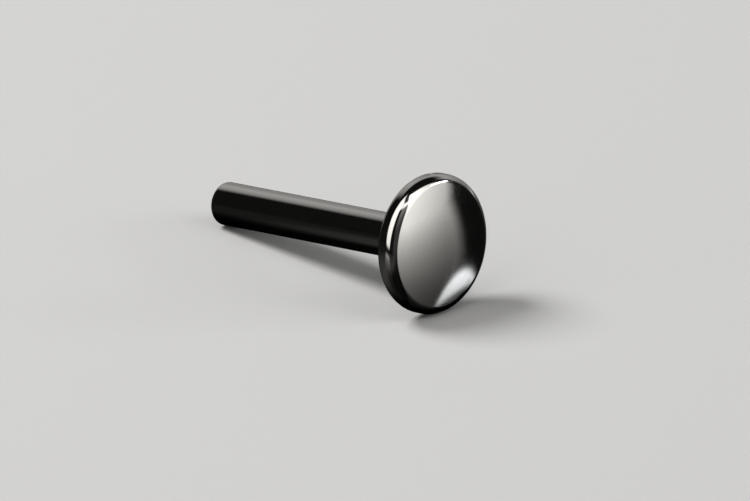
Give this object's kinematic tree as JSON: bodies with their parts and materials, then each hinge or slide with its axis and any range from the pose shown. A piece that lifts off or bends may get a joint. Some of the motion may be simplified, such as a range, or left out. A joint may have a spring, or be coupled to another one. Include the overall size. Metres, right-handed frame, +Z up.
{
  "type": "labret stud",
  "caption": "Polished base of a labret stud: a round, slightly domed disc on a straight post with a blind socket in its end, lying on its rim and post end.",
  "frame": {"origin": "on the surface that the stud lies on, under the middle of its length", "axes": "+X along the length of the stud as it lies, towards the disc; +Z up; the stud's own axis lies in the XZ plane and rises 9.6 degrees towards the disc"},
  "size_m": [0.009, 0.004, 0.004],
  "materials": {
    "polished_titanium": "mirror-polished bare titanium, neutral to slightly warm silver, with the faint fine lines of polishing"
  },
  "bodies": {
    "root": {"disc_and_post": "polished_titanium"}
  },
  "joints": []
}
